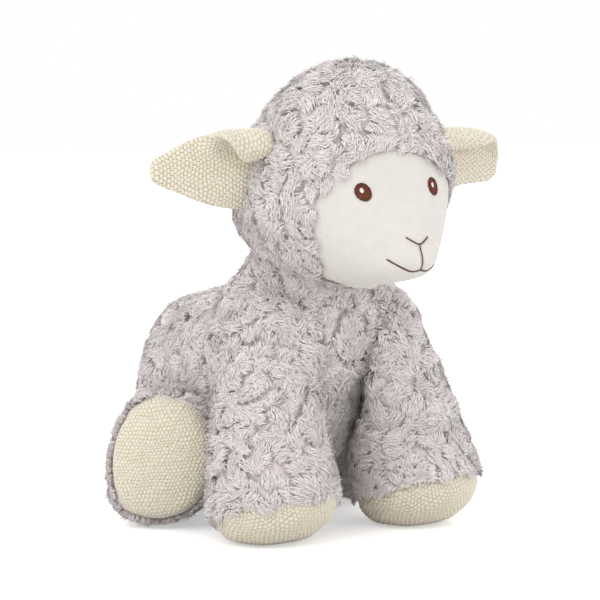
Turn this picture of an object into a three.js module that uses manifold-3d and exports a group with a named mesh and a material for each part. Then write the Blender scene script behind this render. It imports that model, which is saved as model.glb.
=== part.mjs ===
// A sitting plush lamb: curly plush covers, a linen face, knitted ears and soles.
// Millimetres, +Z up. The lamb looks towards -Y and its own right side is at -X.
// The origin is the middle of the flat underside of its seat.

import * as THREE from 'three';
import { mergeVertices } from 'three/addons/utils/BufferGeometryUtils.js';
import Module from 'manifold-3d';

const wasm = await Module();
wasm.setup();

// Cloths, threads and the clearance between sewn pieces
const seamGap = 0.3;
const swingGap = 0.5;
const plushThickness = 6;
const pileLift = 4.5;
const linenThickness = 1.2;
const knitThickness = 2.4;
const threadThickness = 0.9;
const threadWidth = 1.7;
const cutOverrun = 40;

// Torso, from the rump behind the origin to the neck ahead of it
const torsoWidth = 126;
const torsoDepth = 150;
const neckAhead = 93;
const neckHeight = 180;
const neckRadius = 46;
const neckHoleRadius = 22;
const neckWadDrop = 34;

// Weighting bag on the floor of the seat
const pelletBagWidth = 66;
const pelletBagLength = 74;
const pelletBagHeight = 27;

// Head
const headWidth = 134;
const headLength = 134;
const headHeight = 146;
const headAhead = 137;
const headLevel = 244;
const muzzleReach = 37;
const muzzleDrop = 50;
const muzzleSag = 5;
const browSetBack = 14;
const crownSetBack = 3;
const napeReach = 18;

// Face panel and its embroidery, as widths and heights seen from straight ahead
const faceWidth = 105;
const faceHeight = 91;
const chinLevel = 171;
const eyeSpacing = 54;
const eyeLevel = 237;
const eyeSize = 13;
const eyeHighlightSize = 3;
const noseLevel = 202.5;
const noseWidth = 17;
const noseDrop = 5;
const mouthLevel = 184;
const mouthWidth = 40;
const mouthCornerRise = 8;

// Ears
const earReach = 77;
const earRootInset = 13;
const earRootAhead = 132;
const earRootLevel = 251;
const earSweepBack = 20;
const earDroop = 3;
const earWidth = 58;
const earThickness = 6.5;

// Front legs, from the shoulder down to the sole
const shoulderSide = 50;
const shoulderAhead = 100;
const shoulderLevel = 128;
const frontFootSide = 61;
const frontFootAhead = 131;
const leftLegLead = 8;
const footWidth = 98;

// Hind legs, from the hip out to the sole
const hipSide = 34;
const hipBehind = 8;
const hipLevel = 50;
const hindFootSide = 97;
const hindFootAhead = 46;
const hindFootWidth = 76;
const hindFootHeight = 92;

// Tail
const tailLength = 36;
const tailWidth = 30;
const tailLevel = 78;
const tailBehind = 67;

// Turning ranges of the sewn joints, in degrees
const frontLegTurn = [-28, 4];
const hindLegTurn = [0, 24];
const earTurn = [-30, 30];
const tailTurn = [-25, 25];
const turnStep = 10;
const headRestTurn = -10;

// Materials, with the colours of the cloths and threads
function cloth(name, colour, roughness) {
  const material = new THREE.MeshStandardMaterial({ color: colour, roughness, metalness: 0 });
  material.name = name;
  return material;
}
const plushCloth = () => cloth('plush', 0xcdc3c1, 0.95);
const linenCloth = () => cloth('linen', 0xf0ebe6, 0.85);
const knitCloth = () => cloth('knit', 0xe9e1c8, 0.9);
const brownThread = () => cloth('eye_thread', 0x6b2f1a, 0.6);
const darkThread = () => cloth('mouth_thread', 0x54372a, 0.65);
const whiteThread = () => cloth('highlight_thread', 0xf4f0ea, 0.6);
const fibreFill = () => cloth('fibre', 0xf2f0ec, 1);
const cottonBag = () => cloth('cotton', 0xd9d2c4, 0.9);

// Solids from closed geometries, and back again
function solidOf(geometry) {
  const bare = new THREE.BufferGeometry();
  bare.setAttribute('position', geometry.getAttribute('position').clone());
  if (geometry.index) bare.setIndex(geometry.index.clone());
  const merged = mergeVertices(bare);
  return new wasm.Manifold(new wasm.Mesh({
    numProp: 3,
    vertProperties: new Float32Array(merged.getAttribute('position').array),
    triVerts: new Uint32Array(merged.index.array),
  }));
}

function geometryOf(solid) {
  const { vertProperties, triVerts } = solid.getMesh();
  const geometry = new THREE.BufferGeometry();
  geometry.setAttribute('position', new THREE.BufferAttribute(vertProperties, 3));
  geometry.setIndex(new THREE.BufferAttribute(triVerts, 1));
  geometry.computeVertexNormals();
  return geometry;
}

// Copies of a solid turned about a line through a pivot, one for each step of a range
function turnedCopies(solid, pivot, axis, range) {
  const [least, most] = range;
  const count = Math.ceil((most - least) / turnStep);
  const copies = [];
  for (let i = 0; i <= count; i += 1) {
    const angle = THREE.MathUtils.degToRad(least + ((most - least) * i) / count);
    const turn = new THREE.Matrix4().makeTranslation(pivot)
      .multiply(new THREE.Matrix4().makeRotationAxis(axis, -angle))
      .multiply(new THREE.Matrix4().makeTranslation(pivot.clone().negate()));
    copies.push(solidOf(geometryOf(solid).applyMatrix4(turn)));
  }
  return copies;
}

function cutBy(solid, cutters) {
  return cutters.reduce((rest, cutter) => rest.subtract(cutter), solid);
}

// A half space, as a large box beyond a point and square to a direction
function beyond(point, direction, reach) {
  const box = new THREE.BoxGeometry(reach * 2, reach * 2, reach * 2);
  box.translate(0, 0, reach);
  box.applyQuaternion(new THREE.Quaternion().setFromUnitVectors(
    new THREE.Vector3(0, 0, 1), direction.clone().normalize()));
  box.translate(point.x, point.y, point.z);
  return solidOf(box);
}

function ball(centre, radius, sides) {
  const geometry = new THREE.SphereGeometry(radius, sides, sides / 2);
  geometry.rotateX(Math.PI / 2);
  return solidOf(geometry.translate(centre.x, centre.y, centre.z));
}

// A ball whose flat faces, too, lie no nearer to its centre than its radius
function roomyBall(centre, radius, sides) {
  const flat = Math.cos(Math.PI / sides);
  return ball(centre, radius / (flat * flat), sides);
}

// A stuffed form: a sphere drawn out along a spine, with a half width and a half
// depth at each station and a rounded dome at each end. Grow moves its whole skin.
function stuffedForm({ stations, sideways, domes, sides, rings }, grow, floor) {
  const spine = new THREE.CatmullRomCurve3(stations.map((s) => s.centre), false, 'centripetal');
  const girth = new THREE.SplineCurve(stations.map((s) => new THREE.Vector2(s.wide, s.deep)));
  const geometry = new THREE.SphereGeometry(1, sides, rings);
  const place = geometry.getAttribute('position');
  const unit = new THREE.Vector3();
  for (let i = 0; i < place.count; i += 1) {
    unit.fromBufferAttribute(place, i);
    const t = THREE.MathUtils.clamp((1 - unit.y) / 2, 0, 1);
    const around = Math.hypot(unit.x, unit.z);
    const cos = around > 0 ? unit.x / around : 1;
    const sin = around > 0 ? unit.z / around : 0;
    const tangent = spine.getTangent(t);
    const across = sideways.clone().addScaledVector(tangent, -sideways.dot(tangent)).normalize();
    const through = new THREE.Vector3().crossVectors(tangent, across);
    const size = girth.getPoint(t);
    const dome = domeShare(t, domes);
    const point = spine.getPoint(t)
      .addScaledVector(across, cos * (size.x * dome + grow * around))
      .addScaledVector(through, sin * (size.y * dome + grow * around))
      .addScaledVector(tangent, -grow * unit.y);
    if (floor !== undefined) point.z = Math.max(point.z, floor);
    place.setXYZ(i, point.x, point.y, point.z);
  }
  return solidOf(geometry);
}

function domeShare(t, [start, end]) {
  const out = Math.max((start - t) / start, (t - 1 + end) / end, 0);
  return Math.sqrt(Math.max(1 - out * out, 0));
}

// Stations from a table of shares of a form's own sizes
const station = (x, y, z, wide, deep) => ({ centre: new THREE.Vector3(x, y, z), wide, deep });

// Torso cover, filling and neck
const neckPivot = new THREE.Vector3(0, -neckAhead, neckHeight);
const torsoShares = [
  { ahead: -0.80, up: 0.37, wide: 0.94, deep: 1.02 },
  { ahead: -0.38, up: 0.39, wide: 0.97, deep: 1.15 },
  { ahead: 0.02, up: 0.44, wide: 1.00, deep: 1.19 },
  { ahead: 0.38, up: 0.53, wide: 0.98, deep: 1.13 },
  { ahead: 0.70, up: 0.67, wide: 0.92, deep: 0.96 },
  { ahead: 0.88, up: 0.85, wide: 0.80, deep: 0.74 },
  { ahead: 0.98, up: 1.04, wide: 0.60, deep: 0.52 },
];
const torsoForm = {
  stations: torsoShares.map((s) => station(
    0, -s.ahead * neckAhead, s.up * neckHeight, (s.wide * torsoWidth) / 2, (s.deep * torsoDepth) / 2)),
  sideways: new THREE.Vector3(1, 0, 0),
  domes: [0.27, 0.1],
  sides: 22,
  rings: 15,
};
const torsoSolid = (grow, floor) => stuffedForm(torsoForm, grow, floor)
  .add(ball(neckPivot, neckRadius + grow, torsoForm.sides));

// The neck wad is round about the line that the head turns on, under a ball top
function neckWad(grow) {
  const top = neckRadius + grow;
  const radius = neckHoleRadius + grow;
  const rim = Math.asin(radius / top);
  const arcSteps = 5;
  const profile = [new THREE.Vector2(0, -neckWadDrop - grow), new THREE.Vector2(radius, -neckWadDrop - grow)];
  for (let i = 0; i <= arcSteps; i += 1) {
    const angle = rim * (1 - i / arcSteps);
    profile.push(new THREE.Vector2(top * Math.sin(angle), top * Math.cos(angle)));
  }
  const geometry = new THREE.LatheGeometry(profile, 20);
  geometry.rotateX(Math.PI / 2);
  return solidOf(geometry.translate(neckPivot.x, neckPivot.y, neckPivot.z));
}

// The pellet bag lies on the cloth of the seat, inside the torso cover
const seatCloth = plushThickness + seamGap;
const torsoRoom = torsoSolid(-plushThickness - seamGap, seatCloth);
function pelletBag(grow) {
  const geometry = new THREE.SphereGeometry(1, 18, 10);
  geometry.rotateX(Math.PI / 2);
  geometry.scale(pelletBagWidth / 2 + grow, pelletBagLength / 2 + grow, pelletBagHeight + grow);
  const place = geometry.getAttribute('position');
  for (let i = 0; i < place.count; i += 1) place.setZ(i, Math.max(place.getZ(i), -grow));
  return solidOf(geometry.translate(0, 0, seatCloth)).intersect(torsoRoom);
}

const torso = new THREE.Group();
function addPiece(group, origin, name, solid, material) {
  const piece = new THREE.Mesh(geometryOf(solid).translate(-origin.x, -origin.y, -origin.z), material);
  piece.name = name;
  group.add(piece);
}

const seatOrigin = new THREE.Vector3();
const torsoInside = torsoSolid(-plushThickness, plushThickness);
const torsoOutside = torsoSolid(0, 0);
const torsoCover = torsoOutside.subtract(torsoInside).subtract(neckWad(seamGap));
const torsoFilling = torsoRoom.subtract(neckWad(seamGap)).subtract(pelletBag(seamGap));
addPiece(torso, seatOrigin, 'torso_cover', torsoCover, plushCloth());
addPiece(torso, seatOrigin, 'torso_stuffing', torsoFilling, fibreFill());
addPiece(torso, seatOrigin, 'pellet_bag', pelletBag(0), cottonBag());

const neck = new THREE.Group();
neck.position.copy(neckPivot);
addPiece(neck, neckPivot, 'neck_stuffing', neckWad(-seamGap / 2), fibreFill());

// Head: an egg on its side with a muzzle drawn out at the front
const headCentre = new THREE.Vector3(0, -headAhead, headLevel);
const muzzleWidthShare = 0.46;
const napeWidthShare = 0.6;
const browWidthShare = 0.5;
const brow = new THREE.Vector3(0, -1, 0);
const nape = new THREE.Vector3(0, headLength / 2, -headHeight / 4).normalize();
const muzzle = new THREE.Vector3(0, -headLength / 2, -muzzleDrop).normalize();
const fullness = (off) => Math.exp(-(off * off) / 2);
const headSides = 25;
const headRings = 17;
function headForm(grow) {
  const geometry = new THREE.SphereGeometry(1, headSides, headRings);
  geometry.rotateX(Math.PI / 2);
  const place = geometry.getAttribute('position');
  const unit = new THREE.Vector3();
  for (let i = 0; i < place.count; i += 1) {
    unit.fromBufferAttribute(place, i);
    const hollow = browSetBack * fullness(unit.angleTo(brow) / browWidthShare);
    const bump = fullness(unit.angleTo(muzzle) / muzzleWidthShare);
    const back = napeReach * fullness(unit.angleTo(nape) / napeWidthShare);
    const crown = crownSetBack * Math.max(unit.z, 0);
    place.setXYZ(
      i,
      unit.x * (headWidth / 2 + grow),
      unit.y * (headLength / 2 + grow) + nape.y * back + crown + hollow - bump * muzzleReach,
      unit.z * (headHeight / 2 + grow) + nape.z * back - bump * muzzleSag);
  }
  return solidOf(geometry.translate(headCentre.x, headCentre.y, headCentre.z));
}

// Shapes seen from straight ahead are cut right through the front of the head
function throughFace(shape) {
  const reach = headLength;
  const geometry = new THREE.ExtrudeGeometry(shape, { depth: reach, bevelEnabled: false, curveSegments: 10 });
  geometry.rotateX(Math.PI / 2);
  return solidOf(geometry.translate(0, -headAhead, 0));
}

const faceShares = [
  [0, 0], [0.30, 0.02], [0.52, 0.08], [0.73, 0.18], [0.90, 0.32], [1, 0.52],
  [0.94, 0.72], [0.74, 0.84], [0.42, 0.945], [0, 1],
];
function faceShape(grow) {
  const right = faceShares.map(([across, up]) => new THREE.Vector2(
    across * (faceWidth / 2 + grow), chinLevel - grow + up * (faceHeight + grow * 2)));
  const left = right.slice(1, -1).reverse().map((p) => new THREE.Vector2(-p.x, p.y));
  const outline = new THREE.CatmullRomCurve3(
    [...right, ...left].map((p) => new THREE.Vector3(p.x, p.y, 0)), true, 'centripetal');
  return new THREE.Shape(outline.getPoints(36).slice(0, -1).map((p) => new THREE.Vector2(p.x, p.y)));
}

// A stitched line, as a strip of thread along a curve
function stitchShape(points, width) {
  const line = new THREE.SplineCurve(points);
  const steps = points.length * 3;
  const edge = (side) => Array.from({ length: steps + 1 }, (_, i) => {
    const t = i / steps;
    const along = line.getTangent(t);
    return line.getPoint(t).add(new THREE.Vector2(-along.y, along.x).multiplyScalar((side * width) / 2));
  });
  return new THREE.Shape([...edge(-1), ...edge(1).reverse()]);
}

// Embroidery stands on the linen, one thread thick
function embroidery(shapes, lift) {
  const skin = headForm(lift + threadThickness)
    .subtract(headForm(lift));
  return shapes.map((shape) => throughFace(shape).intersect(skin))
    .reduce((all, part) => all.add(part));
}

function oval(x, z, wide, high) {
  const shape = new THREE.Shape();
  shape.absellipse(x, z, wide / 2, high / 2, 0, Math.PI * 2);
  return new THREE.Shape(shape.getPoints(5));
}

const head = new THREE.Group();
const cup = roomyBall(neckPivot, neckRadius + swingGap, headSides);
const headCover = headForm(pileLift)
  .subtract(headForm(pileLift - plushThickness))
  .subtract(throughFace(faceShape(seamGap))).subtract(cup);
const headFilling = headForm(pileLift - plushThickness - seamGap).subtract(cup);
const facePanel = headForm(0)
  .subtract(headForm(-linenThickness))
  .intersect(throughFace(faceShape(0)));
addPiece(head, neckPivot, 'head_cover', headCover, plushCloth());
addPiece(head, neckPivot, 'head_stuffing', headFilling, fibreFill());
addPiece(head, neckPivot, 'face_panel', facePanel, linenCloth());
head.rotation.z = THREE.MathUtils.degToRad(headRestTurn);
neck.add(head);

for (const [side, label] of [[-1, 'right'], [1, 'left']]) {
  const eye = oval((side * eyeSpacing) / 2, eyeLevel, eyeSize, eyeSize);
  const highlight = oval((side * eyeSpacing) / 2, eyeLevel + eyeHighlightSize / 2,
    eyeHighlightSize, eyeHighlightSize);
  addPiece(head, neckPivot, `eye_${label}`, embroidery([eye], seamGap), brownThread());
  addPiece(head, neckPivot, `eye_highlight_${label}`,
    embroidery([highlight], seamGap * 2 + threadThickness), whiteThread());
}

const noseShape = stitchShape([
  new THREE.Vector2(-noseWidth / 2, noseLevel + noseDrop),
  new THREE.Vector2(-noseWidth / 6, noseLevel + noseDrop / 6),
  new THREE.Vector2(0, noseLevel),
  new THREE.Vector2(noseWidth / 6, noseLevel + noseDrop / 6),
  new THREE.Vector2(noseWidth / 2, noseLevel + noseDrop),
], threadWidth);
const philtrumShape = stitchShape([
  new THREE.Vector2(0, noseLevel - threadWidth),
  new THREE.Vector2(0, mouthLevel - threadWidth / 2),
], threadWidth);
const smileShape = stitchShape([
  new THREE.Vector2(-mouthWidth / 2, mouthLevel + mouthCornerRise),
  new THREE.Vector2(-mouthWidth / 3, mouthLevel + mouthCornerRise / 8),
  new THREE.Vector2(-mouthWidth / 6, mouthLevel - mouthCornerRise / 4),
  new THREE.Vector2(0, mouthLevel),
  new THREE.Vector2(mouthWidth / 6, mouthLevel - mouthCornerRise / 4),
  new THREE.Vector2(mouthWidth / 3, mouthLevel + mouthCornerRise / 8),
  new THREE.Vector2(mouthWidth / 2, mouthLevel + mouthCornerRise),
], threadWidth);
addPiece(head, neckPivot, 'nose_stitching', embroidery([noseShape], seamGap), darkThread());
addPiece(head, neckPivot, 'mouth_stitching', embroidery([philtrumShape, smileShape], seamGap), darkThread());

// Ears: a flat knitted leaf, cupped at its root, sewn into the side of the head
const earShares = [
  { out: 0, wide: 0.80 }, { out: 0.22, wide: 1.00 }, { out: 0.46, wide: 0.94 },
  { out: 0.70, wide: 0.74 }, { out: 0.88, wide: 0.52 }, { out: 1, wide: 0.36 },
];
const earCupTurn = 1.9;
const earSeam = (side) => new THREE.Vector3(side * (headWidth / 2 + pileLift), -earRootAhead, earRootLevel);
function earForm(side) {
  const root = earSeam(side);
  root.x -= side * earRootInset;
  const tip = root.clone().add(new THREE.Vector3(side * earReach, earSweepBack, -earDroop));
  const geometry = new THREE.SphereGeometry(1, 18, 12);
  const place = geometry.getAttribute('position');
  const width = new THREE.SplineCurve(earShares.map((s) => new THREE.Vector2(s.out, (s.wide * earWidth) / 2)));
  const out = tip.clone().sub(root).normalize();
  const up = new THREE.Vector3(0, 0, 1).addScaledVector(out, -out.z).normalize();
  const front = new THREE.Vector3().crossVectors(out, up).multiplyScalar(side);
  for (let i = 0; i < place.count; i += 1) {
    const y = place.getY(i);
    const t = (1 - y) / 2;
    const around = Math.hypot(place.getX(i), place.getZ(i));
    const cos = around > 0 ? place.getX(i) / around : 0;
    const sin = around > 0 ? place.getZ(i) / around : 0;
    const across = width.getPoint(t).y * Math.pow(around, 0.55) * cos * side;
    const thick = (earThickness / 2) * Math.pow(around, 0.4) * sin;
    const cupRadius = earWidth / (earCupTurn * (1 - t) * (1 - t) + 0.25);
    const turn = across / cupRadius;
    const point = root.clone().lerp(tip, t)
      .addScaledVector(up, (cupRadius - thick) * Math.sin(turn))
      .addScaledVector(front, cupRadius - (cupRadius - thick) * Math.cos(turn));
    place.setXYZ(i, point.x, point.y, point.z);
  }
  return solidOf(geometry);
}

const headSkin = headForm(pileLift + swingGap);
for (const [side, label] of [[-1, 'right'], [1, 'left']]) {
  const pivot = earSeam(side);
  const cutters = turnedCopies(headSkin, pivot, new THREE.Vector3(0, 1, 0), earTurn);
  const ear = new THREE.Group();
  ear.position.copy(pivot).sub(neckPivot);
  addPiece(ear, pivot, `ear_${label}`, cutBy(earForm(side), cutters), knitCloth());
  head.add(ear);
}

// Legs: a plush sleeve round its filling, closed by a domed knitted sole
const torsoSkin = torsoSolid(swingGap, -cutOverrun);
function leg(label, form, pivot, axis, range, soleShare, neighbours) {
  const cutters = [...turnedCopies(torsoSkin, pivot, axis, range), ...neighbours];
  const spine = new THREE.CatmullRomCurve3(form.stations.map((s) => s.centre), false, 'centripetal');
  const soleCentre = spine.getPoint(soleShare);
  const soleDirection = spine.getTangent(soleShare);
  const seam = soleDirection.clone().multiplyScalar(seamGap);
  const foot = beyond(soleCentre, soleDirection, footWidth);
  const sole = stuffedForm(form, 0, 0)
    .subtract(stuffedForm(form, -knitThickness, knitThickness)).intersect(foot);
  const cover = stuffedForm(form, pileLift, 0)
    .subtract(stuffedForm(form, pileLift - plushThickness, plushThickness))
    .subtract(beyond(soleCentre.clone().sub(seam), soleDirection, footWidth));
  const filling = stuffedForm(form, -knitThickness - seamGap, plushThickness + seamGap);
  const group = new THREE.Group();
  group.position.copy(pivot);
  addPiece(group, pivot, `${label}_cover`, cutBy(cover, cutters), plushCloth());
  addPiece(group, pivot, `${label}_stuffing`, cutBy(filling, cutters), fibreFill());
  addPiece(group, pivot, `${label}_sole`, cutBy(sole, neighbours), knitCloth());
  return group;
}

// Front legs stand ahead of the chest and flare down to the sole
const frontLegShares = [
  { down: -0.28, wide: 0.50, deep: 0.54 },
  { down: -0.12, wide: 0.57, deep: 0.63 },
  { down: 0.14, wide: 0.59, deep: 0.66 },
  { down: 0.38, wide: 0.65, deep: 0.70 },
  { down: 0.64, wide: 0.79, deep: 0.82 },
  { down: 0.84, wide: 0.92, deep: 0.92 },
  { down: 1.02, wide: 0.94, deep: 0.94 },
];
function frontLegForm(side) {
  const lead = side > 0 ? leftLegLead : 0;
  const stations = frontLegShares.map((s) => {
    const spread = 1 - (1 - s.down) * (1 - s.down);
    const flare = s.down * (0.5 + 0.5 * s.down);
    return station(
      side * (shoulderSide + (frontFootSide - shoulderSide) * spread),
      -(lead + shoulderAhead + (frontFootAhead - shoulderAhead) * flare),
      shoulderLevel * (1 - s.down),
      (s.wide * footWidth) / 2, (s.deep * footWidth) / 2);
  });
  return {
    form: { stations, sideways: new THREE.Vector3(1, 0, 0), domes: [0.22, 0.22], sides: 16, rings: 11 },
    pivot: new THREE.Vector3(side * shoulderSide, -(lead + shoulderAhead), shoulderLevel),
    axis: new THREE.Vector3(1, 0, 0),
  };
}
function frontLeg(side, label) {
  const { form, pivot, axis } = frontLegForm(side);
  return leg(`front_leg_${label}`, form, pivot, axis, frontLegTurn, 0.83, []);
}

// Hind legs lie on the floor, point out to the sides and ahead, and are pressed
// hollow where the front leg beside them swings back
const hindLegShares = [
  { out: -0.18, wide: 0.80, deep: 0.76 },
  { out: 0.10, wide: 0.86, deep: 0.82 },
  { out: 0.45, wide: 0.92, deep: 0.90 },
  { out: 0.80, wide: 0.97, deep: 0.97 },
  { out: 1.05, wide: 0.94, deep: 0.94 },
];
function hindLeg(side, label) {
  const stations = hindLegShares.map((s) => station(
    side * (hipSide + (hindFootSide - hipSide) * s.out),
    hipBehind - (hindFootAhead + hipBehind) * s.out,
    hipLevel,
    (s.wide * hindFootWidth) / 2, (s.deep * hindFootHeight) / 2));
  const outwards = new THREE.Vector3(side * (hindFootSide - hipSide), -(hindFootAhead + hipBehind), 0);
  const sideways = new THREE.Vector3(-outwards.y, outwards.x, 0).normalize();
  const form = { stations, sideways, domes: [0.22, 0.14], sides: 16, rings: 11 };
  const pivot = new THREE.Vector3(side * hipSide, hipBehind, hipLevel);
  const range = side < 0 ? hindLegTurn.map((a) => -a).reverse() : hindLegTurn;
  const front = frontLegForm(side);
  const pressed = turnedCopies(
    stuffedForm(front.form, pileLift + swingGap, -cutOverrun), front.pivot, front.axis, [-frontLegTurn[1], 0]);
  return leg(`hind_leg_${label}`, form, pivot, new THREE.Vector3(0, 0, 1), range, 0.86, pressed);
}

// Tail: a short stuffed tuft on the rump
const tailShares = [-0.6, 0, 0.5, 1];
function tail() {
  const pivot = new THREE.Vector3(0, tailBehind, tailLevel);
  const form = {
    stations: tailShares.map((s) => station(
      0, tailBehind + s * tailLength, tailLevel - s * s * tailWidth * 0.5, tailWidth / 2, tailWidth / 2)),
    sideways: new THREE.Vector3(1, 0, 0),
    domes: [0.3, 0.4],
    sides: 14,
    rings: 8,
  };
  const cutters = turnedCopies(torsoSkin, pivot, new THREE.Vector3(0, 0, 1), tailTurn);
  const group = new THREE.Group();
  group.position.copy(pivot);
  addPiece(group, pivot, 'tail', cutBy(stuffedForm(form, 0), cutters), plushCloth());
  return group;
}

const lamb = new THREE.Group();
lamb.add(torso, neck, tail());
for (const [side, label] of [[-1, 'right'], [1, 'left']]) {
  lamb.add(frontLeg(side, label), hindLeg(side, label));
}

export default lamb;
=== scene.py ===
import math

import bmesh
import bpy
import numpy as np
from mathutils import Matrix, Vector
from mathutils.bvhtree import BVHTree
from mathutils.kdtree import KDTree


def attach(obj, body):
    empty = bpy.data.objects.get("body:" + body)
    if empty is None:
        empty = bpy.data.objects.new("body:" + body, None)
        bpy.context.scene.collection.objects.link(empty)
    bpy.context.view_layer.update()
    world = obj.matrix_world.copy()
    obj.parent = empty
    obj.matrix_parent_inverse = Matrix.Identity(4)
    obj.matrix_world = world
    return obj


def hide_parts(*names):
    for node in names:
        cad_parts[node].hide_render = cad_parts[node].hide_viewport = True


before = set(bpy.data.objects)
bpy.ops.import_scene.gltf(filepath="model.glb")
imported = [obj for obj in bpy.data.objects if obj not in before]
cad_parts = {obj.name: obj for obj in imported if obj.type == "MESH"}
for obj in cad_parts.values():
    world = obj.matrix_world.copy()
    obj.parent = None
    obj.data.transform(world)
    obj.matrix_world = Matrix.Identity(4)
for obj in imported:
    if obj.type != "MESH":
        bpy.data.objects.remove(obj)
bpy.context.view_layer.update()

# Torso. A stuffed sack of curly plush: a knitted backing cloth with a pile of fine
# fibres that lie in small wisps and whorls. Two chest panels and two back panels are
# sewn together over the filling, and pellets weight the seat.
CURL_SEED = 41
REMESH_STEP = 0.004
PILE_DEPTH = 0.0042
FIBRE_WIDTH = 0.00080
FIBRE_SPACING = 0.00095
WISP_SPACING = 0.0070
STRAY_SHARE = 0.07
STRAY_RISE = 1.45
WHORL_SIZE = 0.024
WHORL_TURN = 2.3
WISP_SCATTER = 0.50
FIBRE_SCATTER = 0.22
WISP_CURL = 0.40
FIBRE_CURL = 0.25
FIBRE_ARCH = 0.30
SLIDE_SHARE = 2.2
MOST_GATHERED = 0.30
FIBRE_ROOTING = 0.0012
FIBRE_FLATNESS = 0.6
FIBRE_BEND = 0.58
WISP_LEAN = (0.5, 1.0)
WISP_RISE = (0.8, 1.15)
FIBRE_RISE = (0.8, 1.25)
FIBRE_SLIDE = (0.7, 1.3)
FIBRE_BREADTH = (0.75, 1.25)
WISP_SHADE = 0.16
FIBRE_SHADE = 0.10
STRIP_MARGIN = 0.02
NOISE_WAVES = 7
NOISE_LENGTHS = (0.6, 1.5)
NOISE_PEAK = 3.2
OWN_LIGHT = 0.70
SHARED_LIGHT = 0.45
SEAT_CLEARANCE = 0.0065
SEAT_FACING = -0.6
FLOOR_CLEARANCE = 0.0004
BURIED_DEPTH = 0.003
REACH_OF_SEARCH = 0.03


def add_piece(name, data):
    piece = bpy.data.objects.new(name, data)
    bpy.context.scene.collection.objects.link(piece)
    return piece


def mesh_of(shape, name):
    """A smooth mesh of a shape that is finished with."""
    mesh = bpy.data.meshes.new(name)
    shape.to_mesh(mesh)
    shape.free()
    mesh.shade_smooth()
    return mesh


def finish_modifiers(piece):
    """Works the modifiers of a piece into its mesh."""
    bpy.context.view_layer.update()
    shaped = piece.evaluated_get(bpy.context.evaluated_depsgraph_get())
    mesh = bpy.data.meshes.new_from_object(shaped)
    mesh.name = piece.name
    piece.modifiers.clear()
    piece.data = mesh


def stuffed_form(name, nodes, inset, step=REMESH_STEP, rounds=10):
    """One soft closed form round the given solids, set in from their outer surface."""
    form = bmesh.new()
    for node in nodes:
        form.from_mesh(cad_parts[node].data)
    bmesh.ops.remove_doubles(form, verts=form.verts, dist=1e-6)
    piece = add_piece(name, mesh_of(form, name))
    remesh = piece.modifiers.new("remesh", "REMESH")
    remesh.mode = "VOXEL"
    remesh.voxel_size = step
    relax = piece.modifiers.new("relax", "SMOOTH")
    relax.factor = 0.5
    relax.iterations = rounds
    set_in = piece.modifiers.new("set in", "DISPLACE")
    set_in.strength = -inset
    set_in.mid_level = 0
    finish_modifiers(piece)
    keep_outer_skin(piece.data)
    piece.data.shade_smooth()
    return piece


def keep_outer_skin(mesh):
    """Takes away the small hollows between the solids, inside the outer skin."""
    skin = bmesh.new()
    skin.from_mesh(mesh)
    outer = {max(skin.verts, key=lambda v: v.co.z)}
    front = list(outer)
    while front:
        for edge in front.pop().link_edges:
            for vert in edge.verts:
                if vert not in outer:
                    outer.add(vert)
                    front.append(vert)
    bmesh.ops.delete(skin, geom=[v for v in skin.verts if v not in outer], context="VERTS")
    skin.to_mesh(mesh)
    skin.free()


def search_tree(form):
    """A search tree over a form, which is removed as it was only made to measure by."""
    skin = bmesh.new()
    skin.from_mesh(form.data)
    tree = BVHTree.FromBMesh(skin)
    skin.free()
    bpy.data.objects.remove(form)
    return tree


def body_tree(*nodes):
    """The closed outer form of one limb."""
    return search_tree(stuffed_form("form", nodes, inset=0, rounds=2))


def buried(points, trees):
    """Which points lie well inside one of some closed forms."""
    inside = np.zeros(len(points), bool)
    for i, point in enumerate(points):
        place = Vector(point)
        for tree in trees:
            near, normal, _, distance = tree.find_nearest(place, REACH_OF_SEARCH)
            if near is not None and distance > BURIED_DEPTH and (place - near).dot(normal) < 0:
                inside[i] = True
                break
    return inside


def vertex_rows(mesh, what):
    """The places ("co") or the normals of a mesh, with a row for each vertex."""
    rows = np.empty(len(mesh.vertices) * 3)
    mesh.vertices.foreach_get(what, rows)
    return rows.reshape(-1, 3)


def scattered_points(mesh, spacing, seed):
    """Points spread evenly at random over a mesh, with their normals."""
    mesh.calc_loop_triangles()
    count = len(mesh.loop_triangles)
    corners = np.empty(count * 3, np.int32)
    mesh.loop_triangles.foreach_get("vertices", corners)
    corners = corners.reshape(-1, 3)
    places = vertex_rows(mesh, "co")[corners]
    normals = vertex_rows(mesh, "normal")[corners]
    area = np.linalg.norm(
        np.cross(places[:, 1] - places[:, 0], places[:, 2] - places[:, 0]), axis=1) / 2
    chance = np.random.default_rng(seed)
    total = int(area.sum() / spacing ** 2)
    pick = np.searchsorted(np.cumsum(area) / area.sum(), chance.random(total))
    pick = np.minimum(pick, count - 1)
    a, b = chance.random(total), chance.random(total)
    over = a + b > 1
    a[over], b[over] = 1 - a[over], 1 - b[over]
    weights = np.stack([1 - a - b, a, b], axis=1)[:, :, None]
    normal = (normals[pick] * weights).sum(axis=1)
    return (places[pick] * weights).sum(axis=1), unit_rows(normal)


def unit_rows(rows):
    return rows / np.maximum(np.linalg.norm(rows, axis=1, keepdims=True), 1e-9)


def slow_noise(points, size, seed):
    """A smooth random value from -1 to 1 at each point, made of crossing waves."""
    chance = np.random.default_rng(seed)
    waves = unit_rows(chance.normal(size=(NOISE_WAVES, 3))) * (2 * math.pi / size)
    waves *= chance.uniform(*NOISE_LENGTHS, size=(NOISE_WAVES, 1))
    phases = chance.uniform(0, 2 * math.pi, size=NOISE_WAVES)
    return np.sin(points @ waves.T + phases).sum(axis=1) / NOISE_PEAK


def turned_about(vectors, axes, angles):
    """Each vector turned about its own axis, which is square to it."""
    cos, sin = np.cos(angles)[:, None], np.sin(angles)[:, None]
    return vectors * cos + np.cross(axes, vectors) * sin


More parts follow.
